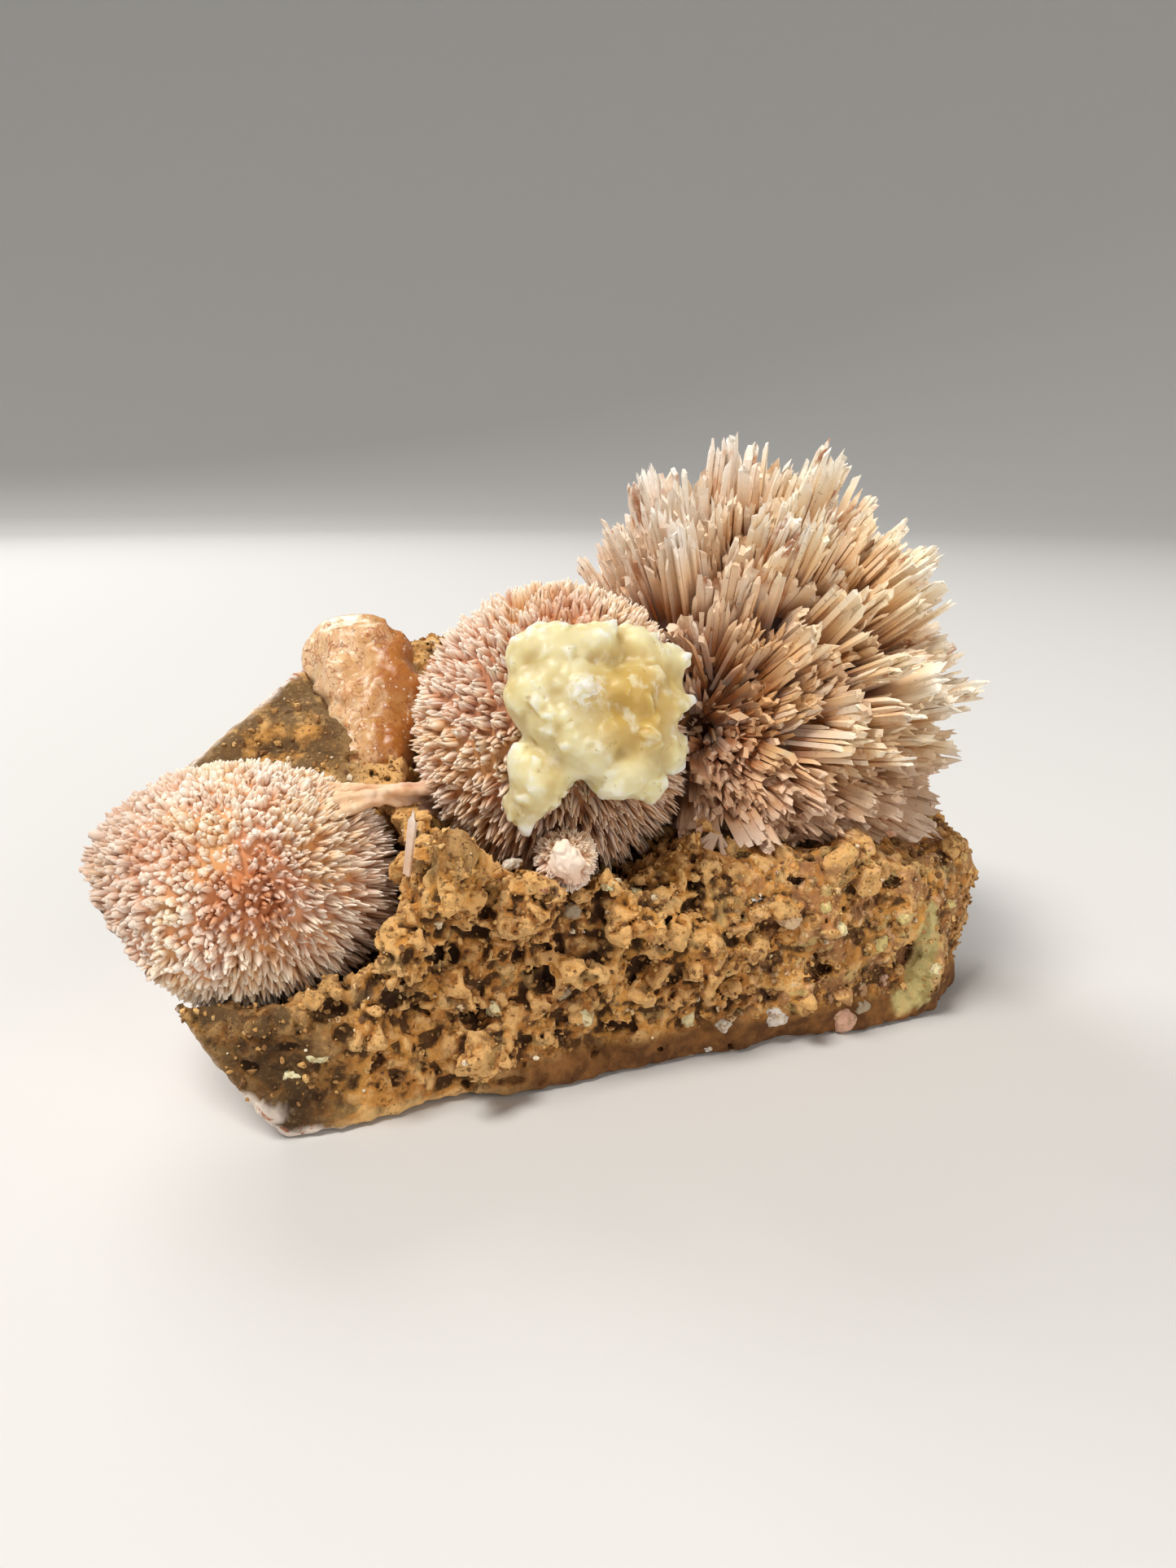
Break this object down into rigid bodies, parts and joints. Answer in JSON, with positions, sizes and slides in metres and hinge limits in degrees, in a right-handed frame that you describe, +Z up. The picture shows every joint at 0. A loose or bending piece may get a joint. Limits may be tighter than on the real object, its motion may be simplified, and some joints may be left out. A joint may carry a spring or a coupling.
{
  "type": "mordenite with stilbite mineral specimen",
  "caption": "Mineral specimen: needle balls, a radiating blade spray, a yellow crystal cluster and a peach lump on a sawn block of vuggy rock that rests on its flat base.",
  "frame": {"origin": "middle of the flat sawn base, on the surface that the specimen stands on", "axes": "+X to the specimen's right as the picture shows it, +Y away from the viewer, +Z up"},
  "size_m": [0.1625, 0.1138, 0.1106],
  "materials": {
    "rock": "rough crumbly vuggy rock, sawn flat on three sides",
    "needles": "satin pink and cream needles",
    "blades": "satin cream and beige blades",
    "yellow_crystal": "waxy translucent pale yellow",
    "peach_crystal": "pearly translucent peach"
  },
  "bodies": {
    "root": {"rock_matrix": "rock", "needle_ball_left": "needles", "needle_ball_middle": "needles", "needle_bud": "needles", "bridge_web": "needles", "blade_spray": "blades", "yellow_cluster": "yellow_crystal", "peach_lump": "peach_crystal"}
  },
  "joints": []
}
